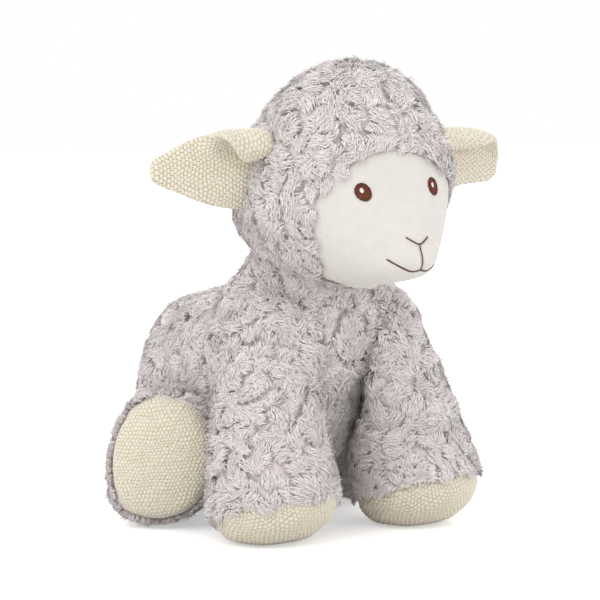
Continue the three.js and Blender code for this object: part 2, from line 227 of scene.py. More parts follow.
def verts_and_faces(shape):
    shape.verts.index_update()
    verts = np.array([v.co[:] for v in shape.verts])
    faces = [[v.index for v in f.verts] for f in shape.faces]
    shape.free()
    return verts, faces


def only_verts(geometry):
    return [v for v in geometry if isinstance(v, bmesh.types.BMVert)]


def fibre_shape():
    """One fibre, pointed at its root and at its tip, with its full width halfway up."""
    shape = bmesh.new()
    waist = bmesh.ops.create_circle(shape, segments=3, radius=1)["verts"]
    loop = shape.edges[:]
    for end in (0, 1):
        made = bmesh.ops.extrude_edge_only(shape, edges=loop)["geom"]
        bmesh.ops.pointmerge(shape, verts=only_verts(made), merge_co=(0, 0, end))
    for vert in waist:
        vert.co.z = 0.5
    bmesh.ops.recalc_face_normals(shape, faces=shape.faces)
    return verts_and_faces(shape)


FIBRE_VERTS, FIBRE_FACES = fibre_shape()


def plush_pile(name, backing, seed, keep, comb, trim=None):
    """A pile of curved fibres on a backing cloth. keep says which roots are in this
    panel, comb is the way that the pile is brushed and trim gives two shares of the
    whole: how tall the pile is and how far it lies over."""
    roots, normals = scattered_points(backing.data, FIBRE_SPACING, seed)
    wanted = keep(roots, normals)
    roots, normals = roots[wanted], normals[wanted]
    chance = np.random.default_rng(seed + 1)
    total = len(roots)

    wisp_count = max(int(total * (FIBRE_SPACING / WISP_SPACING) ** 2), 1)
    wisps = chance.choice(total, wisp_count, replace=False)
    tree = KDTree(wisp_count)
    for i, place in enumerate(roots[wisps]):
        tree.insert(place, i)
    tree.balance()
    own = np.array([tree.find(place)[1] for place in roots])

    brushed = comb(roots[wisps])
    brushed -= normals[wisps] * (brushed * normals[wisps]).sum(axis=1, keepdims=True)
    swirl = slow_noise(roots[wisps], WHORL_SIZE, seed + 2) * WHORL_TURN
    swirl += chance.normal(scale=WISP_SCATTER, size=wisp_count)
    lie = turned_about(unit_rows(brushed), normals[wisps], swirl)
    lean = chance.uniform(*WISP_LEAN, wisp_count)
    rise = chance.uniform(*WISP_RISE, wisp_count)
    if trim is not None:
        tall, flat = trim(roots[wisps])
        rise *= tall
        lean *= flat
    tips = roots[wisps] + normals[wisps] * (PILE_DEPTH * rise)[:, None]
    tips += lie * (PILE_DEPTH * SLIDE_SHARE * lean)[:, None]

    lie = lie[own] + chance.normal(scale=FIBRE_SCATTER, size=(total, 3))
    lie -= normals * (lie * normals).sum(axis=1, keepdims=True)
    lie = unit_rows(lie)
    height = PILE_DEPTH * rise[own] * chance.uniform(*FIBRE_RISE, total)
    height *= np.where(chance.random(total) < STRAY_SHARE, STRAY_RISE, 1)
    slide = PILE_DEPTH * SLIDE_SHARE * lean[own] * chance.uniform(*FIBRE_SLIDE, total)
    tip = roots + normals * height[:, None] + lie * slide[:, None]
    gather = chance.uniform(0.0, MOST_GATHERED, total)[:, None]
    tip = tip * (1 - gather) + tips[own] * gather
    curl = chance.normal(scale=WISP_CURL, size=wisp_count)[own]
    curl += chance.normal(scale=FIBRE_CURL, size=total)
    sway = np.cross(normals, lie) * (curl * PILE_DEPTH)[:, None]
    middle = roots * (1 - FIBRE_BEND) + tip * FIBRE_BEND + sway
    middle += normals * (height * FIBRE_ARCH)[:, None] - lie * (slide * FIBRE_ARCH)[:, None]
    start = roots - normals * FIBRE_ROOTING

    shade = np.clip(0.5 + WISP_SHADE * chance.normal(size=wisp_count), 0, 1)[own]
    shade = np.clip(shade + FIBRE_SHADE * chance.normal(size=total), STRIP_MARGIN, 1 - STRIP_MARGIN)
    width = FIBRE_WIDTH / 2 * chance.uniform(*FIBRE_BREADTH, total)
    mesh = fibres_mesh(name, (start, middle, tip), normals, width, shade)
    return add_piece(name, mesh)


def fibres_mesh(name, line, normals, width, shade):
    """Copies of the fibre, each bent along its own line of three places."""
    start, middle, tip = line
    along = unit_rows(tip - start)
    side = unit_rows(np.cross(along, normals) + 1e-6)
    over = np.cross(along, side)
    rise = FIBRE_VERTS[:, 2]
    step = np.where(rise < 0.25, 0, np.where(rise < 0.75, 1, 2))
    places = np.stack([start, middle, tip], axis=1)[:, step]
    places += side[:, None] * FIBRE_VERTS[None, :, :1] * width[:, None, None]
    flat = FIBRE_VERTS[None, :, 1, None] * FIBRE_FLATNESS
    places += over[:, None] * flat * width[:, None, None]
    places[..., 2] = np.maximum(places[..., 2], FLOOR_CLEARANCE)
    total, size = len(start), len(FIBRE_VERTS)
    corners = np.array(FIBRE_FACES).ravel()
    loops = (corners[None] + (np.arange(total) * size)[:, None]).ravel()
    mesh = bpy.data.meshes.new(name)
    mesh.vertices.add(total * size)
    mesh.vertices.foreach_set("co", places.reshape(-1))
    mesh.loops.add(len(loops))
    mesh.loops.foreach_set("vertex_index", loops.astype(np.int32))
    mesh.polygons.add(len(loops) // 3)
    mesh.polygons.foreach_set("loop_start", np.arange(0, len(loops), 3, dtype=np.int32))
    layer = mesh.uv_layers.new(name="OFBake")
    uv = np.empty((total, len(corners), 2))
    uv[:, :, 0] = shade[:, None]
    uv[:, :, 1] = rise[corners][None] * (1 - 2 * STRIP_MARGIN) + STRIP_MARGIN
    layer.data.foreach_set("uv", uv.reshape(-1))
    mesh.update(calc_edges=True)
    mesh.shade_smooth()
    bend_normals(mesh, normals, size)
    return mesh


def bend_normals(mesh, normals, size):
    """Fibres share the light that falls on the pile, so their normals lean to it."""
    shared = vertex_rows(mesh, "normal") * OWN_LIGHT + np.repeat(normals, size, axis=0) * SHARED_LIGHT
    mesh.normals_split_custom_set_from_vertices(unit_rows(shared))


# the pile's colour darkens towards the roots: painted shade deep in the pile
PLUSH_ROOT_SHADE = (0.92, 0.845, 0.83)
PLUSH_MIDDLE = (0.95, 0.885, 0.872)
PLUSH_TIP = (0.975, 0.925, 0.915)
BACKING_DARK = (0.76, 0.67, 0.66)
BACKING_LIGHT = (0.90, 0.82, 0.81)


def add_node(tree, kind, inputs, **settings):
    """A shader node. Its inputs are values, or outputs of the nodes before it."""
    node = tree.nodes.new(f"ShaderNode{kind}")
    for name, value in settings.items():
        setattr(node, name, value)
    return with_inputs(tree, node, inputs)


def with_inputs(tree, node, inputs):
    """A node, once each input has its value or its link."""
    for name, value in inputs.items():
        if isinstance(value, bpy.types.NodeSocket):
            tree.links.new(value, node.inputs[name])
        else:
            node.inputs[name].default_value = value
    return node


def add_material(name, dress, roughness, specular=0.5, sheen=0.0):
    """A material. dress makes its nodes, and gives what goes into its shader."""
    material = bpy.data.materials.new(name)
    material.use_nodes = True
    tree = material.node_tree
    shown = {"Roughness": roughness, "Specular IOR Level": specular, "Sheen Weight": sheen}
    with_inputs(tree, tree.nodes["Principled BSDF"], {**shown, **dress(tree)})
    return material


def uneven_tone(tree, scale, detail):
    """A fine uneven pattern that stays with the piece."""
    place = add_node(tree, "TexCoord", {}).outputs["Object"]
    return add_node(tree, "TexNoise", {"Vector": place, "Scale": scale, "Detail": detail}).outputs["Fac"]


def colours_by(tree, value, *stops):
    """Colours that follow a value. A stop is a value and its colour."""
    ramp = add_node(tree, "ValToRGB", {"Fac": value})
    elements = ramp.color_ramp.elements
    for element, (position, colour) in zip(elements, (stops[0], stops[-1])):
        element.position = position
        element.color = (*colour, 1)
    for position, colour in stops[1:-1]:
        elements.new(position).color = (*colour, 1)
    return ramp.outputs["Color"]


def bumps(tree, height, strength, distance):
    inputs = {"Height": height, "Strength": strength, "Distance": distance}
    return add_node(tree, "Bump", inputs).outputs["Normal"]


def dressed_as_pile(tree):
    """Fibre colours from root to tip, darker and pinker at the roots as painted shade deep in the pile, and
    from one wisp to the next.
    """
    strip = add_node(tree, "UVMap", {}, uv_map="OFBake").outputs["UV"]
    split = add_node(tree, "SeparateXYZ", {0: strip})
    tone = add_node(tree, "MapRange", {"Value": split.outputs["X"], "To Min": 0.92, "To Max": 1.0})
    shaded_to_root = colours_by(tree, split.outputs["Y"], (0.05, PLUSH_ROOT_SHADE), (0.5, PLUSH_MIDDLE), (0.92, PLUSH_TIP))
    shaded = add_node(tree, "Mix", {"Factor": 1, 6: shaded_to_root, 7: tone.outputs["Result"]},
                      data_type="RGBA", blend_type="MULTIPLY")
    return {"Base Color": shaded.outputs[2], "Sheen Roughness": 0.55, "Sheen Tint": (1.0, 0.96, 0.95, 1)}


def dressed_as_backing(tree):
    """The knitted cloth that shows a little between the wisps."""
    mottle = uneven_tone(tree, scale=420, detail=4)
    return {"Base Color": colours_by(tree, mottle, (0, BACKING_DARK), (1, BACKING_LIGHT)),
            "Normal": bumps(tree, mottle, strength=0.5, distance=0.0006)}


PLUSH_PILE = add_material("plush_pile", dressed_as_pile, roughness=0.75, specular=0.25, sheen=1.0)
PLUSH_BACKING = add_material("plush_backing", dressed_as_backing, roughness=0.95)

HEAD_TREE = body_tree("head_cover", "head_stuffing", "face_panel")
TORSO_TREE = body_tree("torso_cover", "torso_stuffing")
LEG_TREES = {
    label: body_tree(f"{label}_cover", f"{label}_stuffing", f"{label}_sole")
    for label in ("front_leg_right", "front_leg_left", "hind_leg_right", "hind_leg_left")
}


def add_plush(name, backing, body, seed, panels, comb, neighbours, bare=None, trim=None):
    """The pile of one limb in its sewn panels. bare says where no plush is sewn."""
    for number, (label, in_panel) in enumerate(panels.items()):
        def keep(roots, normals, in_panel=in_panel):
            wanted = in_panel(roots)
            wanted &= ~((roots[:, 2] < SEAT_CLEARANCE) & (normals[:, 2] < SEAT_FACING))
            if bare is not None:
                wanted &= ~bare(roots)
            above = roots + normals * PILE_DEPTH
            rest = np.flatnonzero(wanted)
            wanted[rest[buried(above[rest], neighbours)]] = False
            return wanted
        pile = plush_pile(f"{name}_pile_{label}", backing, seed + number * 10, keep, comb, trim)
        pile.data.materials.append(PLUSH_PILE)
        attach(pile, body)


def add_backing(name, nodes, body, replaced=(), inset=PILE_DEPTH):
    """The stuffed cloth of one limb, which stands for its cover and its filling."""
    piece = stuffed_form(name, nodes, inset)
    piece.data.materials.append(PLUSH_BACKING)
    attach(piece, body)
    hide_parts(*nodes[:2], *replaced)
    return piece


TORSO_LUMPS = (
    ((0.030, -0.128, 0.152), (0.016, 0.020, 0.024), (0.0080, -0.0110, 0.0)),
    ((0.018, -0.120, 0.088), (0.024, 0.026, 0.024), (0.0, 0.0110, 0.0)),
    ((-0.030, -0.128, 0.143), (0.016, 0.020, 0.030), (-0.0030, -0.0050, 0.0)),
    ((0.000, 0.018, 0.172), (0.060, 0.030, 0.026), (0.0, 0.0, -0.0090)),
    ((0.000, -0.042, 0.178), (0.040, 0.016, 0.016), (0.0, 0.0040, 0.0030)),
)


def push_lumps(piece, lumps, to_room=None):
    """Filling pushed about under the cloth: soft lumps at places, as the toy shows."""
    places = vertex_rows(piece.data, "co")
    moved = places.copy()
    for centre, width, push in lumps:
        spot, far = np.array([centre]), np.array([centre]) + push
        if to_room is not None:
            spot, far = to_room(spot), to_room(far)
        off = np.linalg.norm((places - spot) / width, axis=1)
        moved += np.exp(-off * off / 2)[:, None] * (far - spot)
    piece.data.vertices.foreach_set("co", moved.ravel())
    piece.data.update()


torso = add_backing("torso_backing", ["torso_cover", "torso_stuffing"], "torso",
                    replaced=["pellet_bag"])
push_lumps(torso, TORSO_LUMPS)


def combed(*way):
    """A comb that brushes the whole of a pile one way."""
    return lambda roots: np.tile(np.array(way, float), (len(roots), 1))


def four_panels(front, seam, across):
    """Right and left panels before and behind a seam. across tells a root's side."""
    return {
        f"{front}_right": lambda p: (across(p) < 0) & (p[:, 1] < seam),
        f"{front}_left": lambda p: (across(p) >= 0) & (p[:, 1] < seam),
        "back_right": lambda p: (across(p) < 0) & (p[:, 1] >= seam),
        "back_left": lambda p: (across(p) >= 0) & (p[:, 1] >= seam),
    }


TORSO_SEAM = -0.042
TORSO_PANELS = four_panels("chest", TORSO_SEAM, lambda p: p[:, 0])
add_plush("torso", torso, "torso", CURL_SEED, TORSO_PANELS, combed(0, 0.55, -0.83),
          [HEAD_TREE, *LEG_TREES.values()])

# Neck. A round wad of filling under the head cover, that the head turns on. It is
# sewn into the neck hole of the torso and doesn't show.
neck = stuffed_form("neck_wad", ["neck_stuffing"], inset=0.001, step=0.003, rounds=4)
neck.data.materials.append(PLUSH_BACKING)
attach(neck, "neck")
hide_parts("neck_stuffing")

# Head cover. The same plush in two front and two back panels, sewn to the torso round
# the neck, with an opening for the face. The pile falls forward over the brow.
NECK_PIVOT = Vector((0, -0.093, 0.180))
NECK_CLEARANCE = 0.0535
HEAD_TURN = math.radians(-10)
CROWN = np.array([0.0, -0.110, 0.330])
CROWN_FALL = 0.4
HEAD_SEAM = -0.132
FACE_WIDTH = 0.102
FACE_HEIGHT = 0.0915
CHIN_LEVEL = 0.1705
FACE_BACK = -0.150
FACE_HEM = 0.0002
LEFT_FACE_BREADTH = 1.11
CLIPPED_REACH = 0.012
CLIPPED_LEVEL = 0.245
CLIPPED_FADE = 0.02
CLIPPED_BACK = -0.12
CLIPPED_LEFT = 0.55
CLIPPED_RIGHT = 0.25
FACE_SHARES = ((0, 0), (0.30, 0.02), (0.52, 0.08), (0.73, 0.18), (0.90, 0.32),
               (1, 0.52), (0.94, 0.72), (0.74, 0.84), (0.42, 0.945), (0, 1))
OUTLINE_STEPS = 12


def smooth_line(points, steps):
    """A line that runs smoothly through some points of any dimension."""
    points = np.asarray(points, float)
    before = np.vstack([points[:1] * 2 - points[1:2], points[:-2]])
    after = np.vstack([points[2:], points[-1:] * 2 - points[-2:-1]])
    slope_in = (points[1:] - before) / 2
    slope_out = (after - points[:-1]) / 2
    line = []
    for i in range(len(points) - 1):
        t = (np.arange(steps) / steps)[:, None]
        line.append(
            points[i] * (2 * t ** 3 - 3 * t ** 2 + 1) + slope_in[i] * (t ** 3 - 2 * t ** 2 + t)
            + points[i + 1] * (3 * t ** 2 - 2 * t ** 3) + slope_out[i] * (t ** 3 - t ** 2))
    line.append(points[-1:])
    return np.vstack(line)


FACE_LINE = smooth_line(FACE_SHARES, OUTLINE_STEPS)


def edge_distance(across, level):
    """The signed distance to the outline of the face, less than nothing inside it."""
    across = np.where(across > 0, across / LEFT_FACE_BREADTH, across)
    outline = FACE_LINE * [FACE_WIDTH / 2, FACE_HEIGHT] + [0, CHIN_LEVEL]
    here = np.stack([np.abs(across), level], axis=1)
    near = np.full(len(here), 1.0)
    for start, end in zip(outline[:-1], outline[1:]):
        run = end - start
        share = np.clip(((here - start) @ run) / (run @ run), 0, 1)
        near = np.minimum(near, np.linalg.norm(here - start - share[:, None] * run, axis=1))
    up = (level - CHIN_LEVEL) / FACE_HEIGHT
    half = np.interp(up, FACE_LINE[:, 1], FACE_LINE[:, 0]) * FACE_WIDTH / 2
    inside = (up > 0) & (up < 1) & (np.abs(across) < half)
    return np.where(inside, -near, near)


def head_frame(points, turn):
    """Points turned about the neck, from the room to the head or back again."""
    cos, sin = math.cos(turn), math.sin(turn)
    x, y, z = (points - np.array(NECK_PIVOT)).T
    turned = np.stack([x * cos - y * sin, x * sin + y * cos, z], axis=1)
    return turned + np.array(NECK_PIVOT)


def head_opening(roots):
    """Where no plush is sewn: in the opening for the face and round the neck."""
    own = head_frame(roots, -HEAD_TURN)
    in_face = (own[:, 1] < FACE_BACK) & (edge_distance(own[:, 0], own[:, 2]) < FACE_HEM)
    on_neck = np.linalg.norm(roots - np.array(NECK_PIVOT), axis=1) < NECK_CLEARANCE
    return in_face | on_neck


def shorter_by_face(roots):
    """The pile is clipped beside the cheeks and left long over the brow."""
    own = head_frame(roots, -HEAD_TURN)
    away = np.clip(edge_distance(own[:, 0], own[:, 2]) / CLIPPED_REACH, 0, 1)
    beside = np.clip((CLIPPED_LEVEL - own[:, 2]) / CLIPPED_FADE, 0, 1) * (own[:, 1] < CLIPPED_BACK)
    share = 1 - beside * (1 - away) * np.where(own[:, 0] > 0, CLIPPED_LEFT, CLIPPED_RIGHT)
    return share, share


def down_from_crown(roots):
    way = roots - CROWN
    return unit_rows(way) - [0, 0, CROWN_FALL]


HEAD_LUMPS = (
    ((0.000, -0.135, 0.326), (0.2, 0.2, 0.026), (0.0030, -0.0060, 0.0)),
    ((-0.060, -0.112, 0.292), (0.024, 0.030, 0.026), (0.0030, 0.0, -0.0010)),
    ((0.052, -0.140, 0.292), (0.026, 0.034, 0.026), (-0.0035, 0.0010, -0.0020)),
    ((0.000, -0.050, 0.205), (0.060, 0.022, 0.014), (0.0, -0.0060, 0.0050)),
    ((-0.066, -0.142, 0.226), (0.014, 0.016, 0.016), (-0.0070, -0.0040, 0.0)),
    ((0.000, -0.172, 0.166), (0.045, 0.022, 0.010), (0.0, 0.0030, 0.0045)),
    ((-0.052, -0.090, 0.208), (0.024, 0.024, 0.020), (-0.0075, 0.0060, -0.0010)),
    ((0.052, -0.090, 0.208), (0.024, 0.024, 0.020), (0.0075, 0.0060, -0.0010)),
)

head = add_backing("head_backing", ["head_cover", "head_stuffing", "face_panel"], "head")
push_lumps(head, HEAD_LUMPS, lambda p: head_frame(p, HEAD_TURN))
HEAD_PANELS = four_panels("front", HEAD_SEAM, lambda p: head_frame(p, -HEAD_TURN)[:, 0])
add_plush("head", head, "head", CURL_SEED + 100, HEAD_PANELS, down_from_crown, [TORSO_TREE],
          head_opening, shorter_by_face)

# Face. A smooth linen panel, sewn into the opening of the head cover and stuffed out
# to a small muzzle, with a pulled-in line down the middle and soft cheeks.
LINEN_STEP = 0.0008
LINEN_REACH = FACE_WIDTH * 0.62
LINEN_TUCK = 0.0016
LINEN_TUCK_START = 0.001
LINEN_THICKNESS = 0.0011
HEAD_SIZE = np.array([0.134, 0.134, 0.146]) / 2
HEAD_CENTRE = np.array([0, -0.137, 0.244])
BROW = np.array([0.0, -1.0, 0.0])
MUZZLE = np.array([0, -67, -50]) / math.hypot(67, 50)
CHIN_FULLNESS = 0.0145
CHIN_FULL_LEVEL = 0.182
CHIN_BREADTH = 1.85
CHIN_SPREAD = 0.011
CHIN_ROUND = 0.010
EYE_SPACING = 0.054
EYE_LEVEL = 0.237
NOSE_LEVEL = 0.2025
MOUTH_LEVEL = 0.1865
LIP_SWELLING = ((0.0115, 0.193), 0.0075, 0.0017)
EYE_HOLLOW = ((EYE_SPACING / 2, EYE_LEVEL - 0.002), 0.010, -0.0011)
CHEEK_SWELLING = ((0.031, 0.206), 0.012, 0.0008)
CREASE_WIDTH = 0.0013
CREASE_DEPTH = 0.0011
FOLD_WIDTH = 0.0012
FOLD_DEPTH = 0.0008
FOLD_END = 0.021
CREASE_FADE = 0.003
FOLD_FADE = 0.004
BROW_RISE = 0.014
BROW_SPREAD = 0.5
CROWN_SLOPE = 0.003
MUZZLE_RISE = 0.037
MUZZLE_SPREAD = 0.46
MUZZLE_DROP = 0.005


def fullness(units, way, width):
    """How near each direction lies to the middle of a bulge of the head, up to 1."""
    off = np.arccos(np.clip(units @ way, -1, 1)) / width
    return np.exp(-off * off / 2)


def hump(across, level, at, width, height):
    """A soft round swelling of the linen, less than nothing for a hollow."""
    off = ((across - at[0]) / width) ** 2 + ((level - at[1]) / width) ** 2
    return height * np.exp(-off / 2)


def face_swelling(across, level):
    """How far the chin, lips and cheeks stand out, and the stitched lines draw in."""
    side = np.abs(across)
    sewn_down = np.clip(-edge_distance(across, level) / CHIN_ROUND, 0, 1)
    sewn_down = sewn_down * sewn_down * (3 - 2 * sewn_down)
    chin = hump(across / CHIN_BREADTH, level, (0, CHIN_FULL_LEVEL), CHIN_SPREAD, CHIN_FULLNESS)
    swell = chin * sewn_down
    for at, width, height in (LIP_SWELLING, EYE_HOLLOW, CHEEK_SWELLING):
        swell += hump(side, level, at, width, height)
    crease = np.exp(-(across / CREASE_WIDTH) ** 2 / 2)
    below_nose = np.clip((NOSE_LEVEL - level) / CREASE_FADE, 0, 1)
    above_mouth = np.clip((level - MOUTH_LEVEL + 0.001) / CREASE_FADE, 0, 1)
    swell -= crease * (below_nose * above_mouth) * CREASE_DEPTH
    lip = np.interp(side, MOUTH_LINE[:, 0], MOUTH_LINE[:, 1])
    fold = np.exp(-((level - lip) / FOLD_WIDTH) ** 2 / 2)
    fold *= np.clip((FOLD_END - side) / FOLD_FADE, 0, 1)
    return swell - fold * FOLD_DEPTH


def face_places(across, level, lift):
    """Places on the linen, seen from straight ahead, and raised from it by lift."""
    unit_x = across / HEAD_SIZE[0]
    unit_z = (level - HEAD_CENTRE[2]) / HEAD_SIZE[2]
    for _ in range(12):
        unit_z = np.clip(unit_z, -0.97, 0.97)
        unit_y = -np.sqrt(np.clip(1 - unit_x ** 2 - unit_z ** 2, 0.001, 1))
        units = unit_rows(np.stack([unit_x, unit_y, unit_z], axis=1))
        bump = fullness(units, MUZZLE, MUZZLE_SPREAD)
        unit_z = (level - HEAD_CENTRE[2] + bump * MUZZLE_DROP) / HEAD_SIZE[2]
    depth = units[:, 1] * HEAD_SIZE[1] + HEAD_CENTRE[1] + CROWN_SLOPE * np.maximum(unit_z, 0)
    depth += BROW_RISE * fullness(units, BROW, BROW_SPREAD) - MUZZLE_RISE * bump
    depth -= face_swelling(across, level) + lift
    return head_frame(np.stack([across, depth, level], axis=1), HEAD_TURN)


def cut_away(sheet, kept):
    dropped = [v for v, stays in zip(sheet.verts[:], kept) if not stays]
    bmesh.ops.delete(sheet, geom=dropped, context="VERTS")


def face_towards(sheet, way):
    """Turns all the faces of an open sheet to one side."""
    bmesh.ops.recalc_face_normals(sheet, faces=sheet.faces)
    if sum(f.normal.dot(way) for f in sheet.faces) < 0:
        bmesh.ops.reverse_faces(sheet, faces=sheet.faces)


MOUTH_WIDTH = 0.039
MOUTH_RISE = 0.0068
MOUTH_SHARES = ((0, 0), (0.13, -0.16), (0.28, -0.22), (0.45, -0.04), (0.62, 0.22), (0.82, 0.60), (1, 1))
MOUTH_LINE = smooth_line(MOUTH_SHARES, OUTLINE_STEPS) * [MOUTH_WIDTH / 2, MOUTH_RISE] + [0, MOUTH_LEVEL]
linen = bmesh.new()
steps = int(LINEN_REACH * 2 / LINEN_STEP)
bmesh.ops.create_grid(linen, x_segments=steps, y_segments=steps, size=LINEN_REACH)
grid = np.array([v.co[:] for v in linen.verts])
middle_level = CHIN_LEVEL + FACE_HEIGHT / 2
outside = edge_distance(grid[:, 0], grid[:, 1] + middle_level)
kept = outside <= LINEN_TUCK
cut_away(linen, kept)
grid, outside = grid[kept], outside[kept]
tucked = np.maximum(outside + LINEN_TUCK_START, 0) ** 2 / LINEN_TUCK / 2
for vert, place in zip(linen.verts, face_places(grid[:, 0], grid[:, 1] + middle_level, -tucked)):
    vert.co = place
face_towards(linen, Vector((0, -1, 0)))
face = add_piece("face_linen", mesh_of(linen, "face_linen"))
thick = face.modifiers.new("cloth", "SOLIDIFY")
thick.thickness = LINEN_THICKNESS
thick.offset = -1
finish_modifiers(face)
face.data.shade_smooth()
LINEN_LIGHT = (0.77, 0.735, 0.70)
LINEN_SHADE = (0.73, 0.695, 0.655)


def dressed_as_linen(tree):
    """An even plain weave: two sets of fine crossing threads, with slubs."""
    place = add_node(tree, "TexCoord", {}).outputs["Object"]
    turned = add_node(tree, "Mapping", {"Vector": place, "Rotation": (0, 0, -HEAD_TURN)}).outputs[0]
    threads = {"Vector": turned, "Scale": 340, "Distortion": 0.8, "Detail": 1}
    crossing = [add_node(tree, "TexWave", threads, wave_type="BANDS", bands_direction=way).outputs["Fac"]
                for way in ("X", "Z")]
    weave = add_node(tree, "Math", dict(enumerate(crossing)), operation="ADD").outputs[0]
    slub = uneven_tone(tree, scale=130, detail=5)
    return {"Base Color": colours_by(tree, slub, (0.3, LINEN_SHADE), (0.7, LINEN_LIGHT)),
            "Normal": bumps(tree, weave, strength=0.35, distance=0.0003)}


LINEN = add_material("linen", dressed_as_linen, roughness=0.85, specular=0.2, sheen=0.15)
face.data.materials.append(LINEN)
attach(face, "head")
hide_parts("face_panel")

# Eyes. Brown thread, sewn through the linen in satin stitch: a ring of short stitches
# round the rim, a second ring inside it, and a dark patch under the white highlight.
EYE_WIDTH = 0.0101
EYE_HEIGHT = 0.0119
EYE_TILT = 0.0012
STITCH_ARCH = 0.35
HIGHLIGHT_AT = (-0.0010, 0.0010)
HIGHLIGHT_WIDTH = 0.0026
HIGHLIGHT_HEIGHT = 0.0031
HIGHLIGHT_PITCH = 0.00052
STITCH_SCATTER = (0.015, 0.012)
RIM_LAYER = (0.00035, 0.00080)
RING_LAYER = (0.00040, 0.00090)
PUPIL_LAYER = (0.00055, 0.00085)
HIGHLIGHT_LAYER = (0.00125, 0.00060)


def thread_stitch_shape():
    """One short stitch of thread, thick in the middle and drawn in at both ends."""
    shape = bmesh.new()
    bmesh.ops.create_uvsphere(shape, u_segments=8, v_segments=6, radius=1)
    bmesh.ops.rotate(shape, verts=shape.verts, cent=(0, 0, 0), matrix=Matrix.Rotation(math.pi / 2, 3, "Y"))
    for vert in shape.verts:
        round_off = math.sqrt(max(1 - vert.co.x ** 2, 0))
        if round_off > 0:
            full = round_off ** -0.5
            vert.co.y *= full
            vert.co.z *= full
    return verts_and_faces(shape)


STITCH_VERTS, STITCH_FACES = thread_stitch_shape()


def sew_stitches(name, stitches, layer, thread, node=None):
    """Stitches of one thread on the linen, from pairs of places seen from straight
    ahead. layer is their height over it and the thickness of the thread."""
    starts, ends = stitches
    lift, thickness = layer
    run = ends - starts
    along = run / np.linalg.norm(run, axis=1)[:, None]
    square = np.stack([-along[:, 1], along[:, 0]], axis=1)
    share = (STITCH_VERTS[:, 0] + 1) / 2
    flat = starts[:, None] + run[:, None] * share[None, :, None]
    flat = flat + square[:, None] * STITCH_VERTS[None, :, 1, None] * thickness / 2
    arch = 1 - STITCH_VERTS[:, 0] ** 2
    height = lift + (STITCH_VERTS[:, 2] * thickness / 2 + arch * thickness * STITCH_ARCH)
    total, size = len(starts), len(STITCH_VERTS)
    places = face_places(flat[..., 0].ravel(), flat[..., 1].ravel(), np.tile(height, total))
    faces = [[i + n * size for i in face] for n in range(total) for face in STITCH_FACES]
    mesh = bpy.data.meshes.new(name)
    mesh.from_pydata(places.tolist(), [], faces)
    fix = bmesh.new()
    fix.from_mesh(mesh)
    bmesh.ops.recalc_face_normals(fix, faces=fix.faces)
    fix.to_mesh(mesh)
    fix.free()
    mesh.shade_smooth()
    mesh.materials.append(thread)
    piece = add_piece(name, mesh)
    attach(piece, "head")
    if node:
        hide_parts(node)


def thread_material(name, colour, shade):
    def twisted(tree):
        tone = uneven_tone(tree, scale=900, detail=2)
        return {"Base Color": colours_by(tree, tone, (0.35, shade), (0.65, colour))}
    return add_material(name, twisted, roughness=0.55, specular=0.25)


BROWN_THREAD = thread_material("brown_thread", (0.230, 0.056, 0.024), (0.125, 0.030, 0.014))
DARK_THREAD = thread_material("dark_thread", (0.155, 0.048, 0.025), (0.085, 0.028, 0.016))
WHITE_THREAD = thread_material("white_thread", (0.92, 0.90, 0.87), (0.82, 0.79, 0.75))


def ring_of_stitches(centre, inner, outer, count, seed):
    """Starts and ends of stitches that point outwards between two ovals."""
    chance = np.random.default_rng(seed)
    angle = np.arange(count) * 2 * math.pi / count
    way = np.stack([np.cos(angle), np.sin(angle)], axis=1)
    size = np.array([EYE_WIDTH, EYE_HEIGHT]) / 2
    reach = [share + chance.normal(scale=scatter, size=count)
             for share, scatter in zip((inner, outer), STITCH_SCATTER)]
    return [np.array(centre) + way * size * share[:, None] for share in reach]


def patch_of_stitches(centre, width, height, pitch):
    """Starts and ends of level stitches side by side that fill an oval."""
    rows = np.arange(-height / 2 + pitch / 2, height / 2, pitch)
    half = width / 2 * np.sqrt(1 - (rows / (height / 2)) ** 2)
    level = centre[1] + rows
    return np.stack([centre[0] - half, level], axis=1), np.stack([centre[0] + half, level], axis=1)


def stitched_eye(label, side):
    """One eye, from its rim inwards, with each ring of thread lying on the last."""
    centre = (side * EYE_SPACING / 2, EYE_LEVEL + side * EYE_TILT)
    spot = (centre[0] + HIGHLIGHT_AT[0], centre[1] + HIGHLIGHT_AT[1])
    seed = CURL_SEED + 300 + side
    rim = ring_of_stitches(centre, inner=0.70, outer=1.0, count=44, seed=seed)
    ring = ring_of_stitches(centre, inner=0.30, outer=0.70, count=30, seed=seed + 5)
    pupil = ring_of_stitches(centre, inner=0.02, outer=0.42, count=14, seed=seed + 9)
    light = patch_of_stitches(spot, HIGHLIGHT_WIDTH, HIGHLIGHT_HEIGHT, HIGHLIGHT_PITCH)
    sew_stitches(f"eye_rim_{label}", rim, RIM_LAYER, DARK_THREAD, f"eye_{label}")
    sew_stitches(f"eye_ring_{label}", ring, RING_LAYER, BROWN_THREAD)
    sew_stitches(f"eye_pupil_{label}", pupil, PUPIL_LAYER, DARK_THREAD)
    sew_stitches(f"eye_highlight_thread_{label}", light, HIGHLIGHT_LAYER, WHITE_THREAD,
                 f"eye_highlight_{label}")


stitched_eye("right", -1)
stitched_eye("left", 1)

# Nose and mouth. Dark brown thread in overlapping stem stitches, drawn through the
# linen and the stuffing, so that the mouth and the line above it lie in a crease.
STEM_STITCH = 0.0030
STEM_STEP = 0.0016
NOSE_WIDTH = 0.017
NOSE_DROP = 0.005
LEFT_MOUTH_SHARE = 0.74
NOSE_LAYER = (0.0003, 0.00092)
MOUTH_LAYER = (0.0003, 0.00086)
UPRIGHT_LAYER = (0.0004, 0.00072)
NOSE_SHARES = ((0, 0), (0.12, 0.06), (0.35, 0.30), (0.68, 0.62), (1, 1))


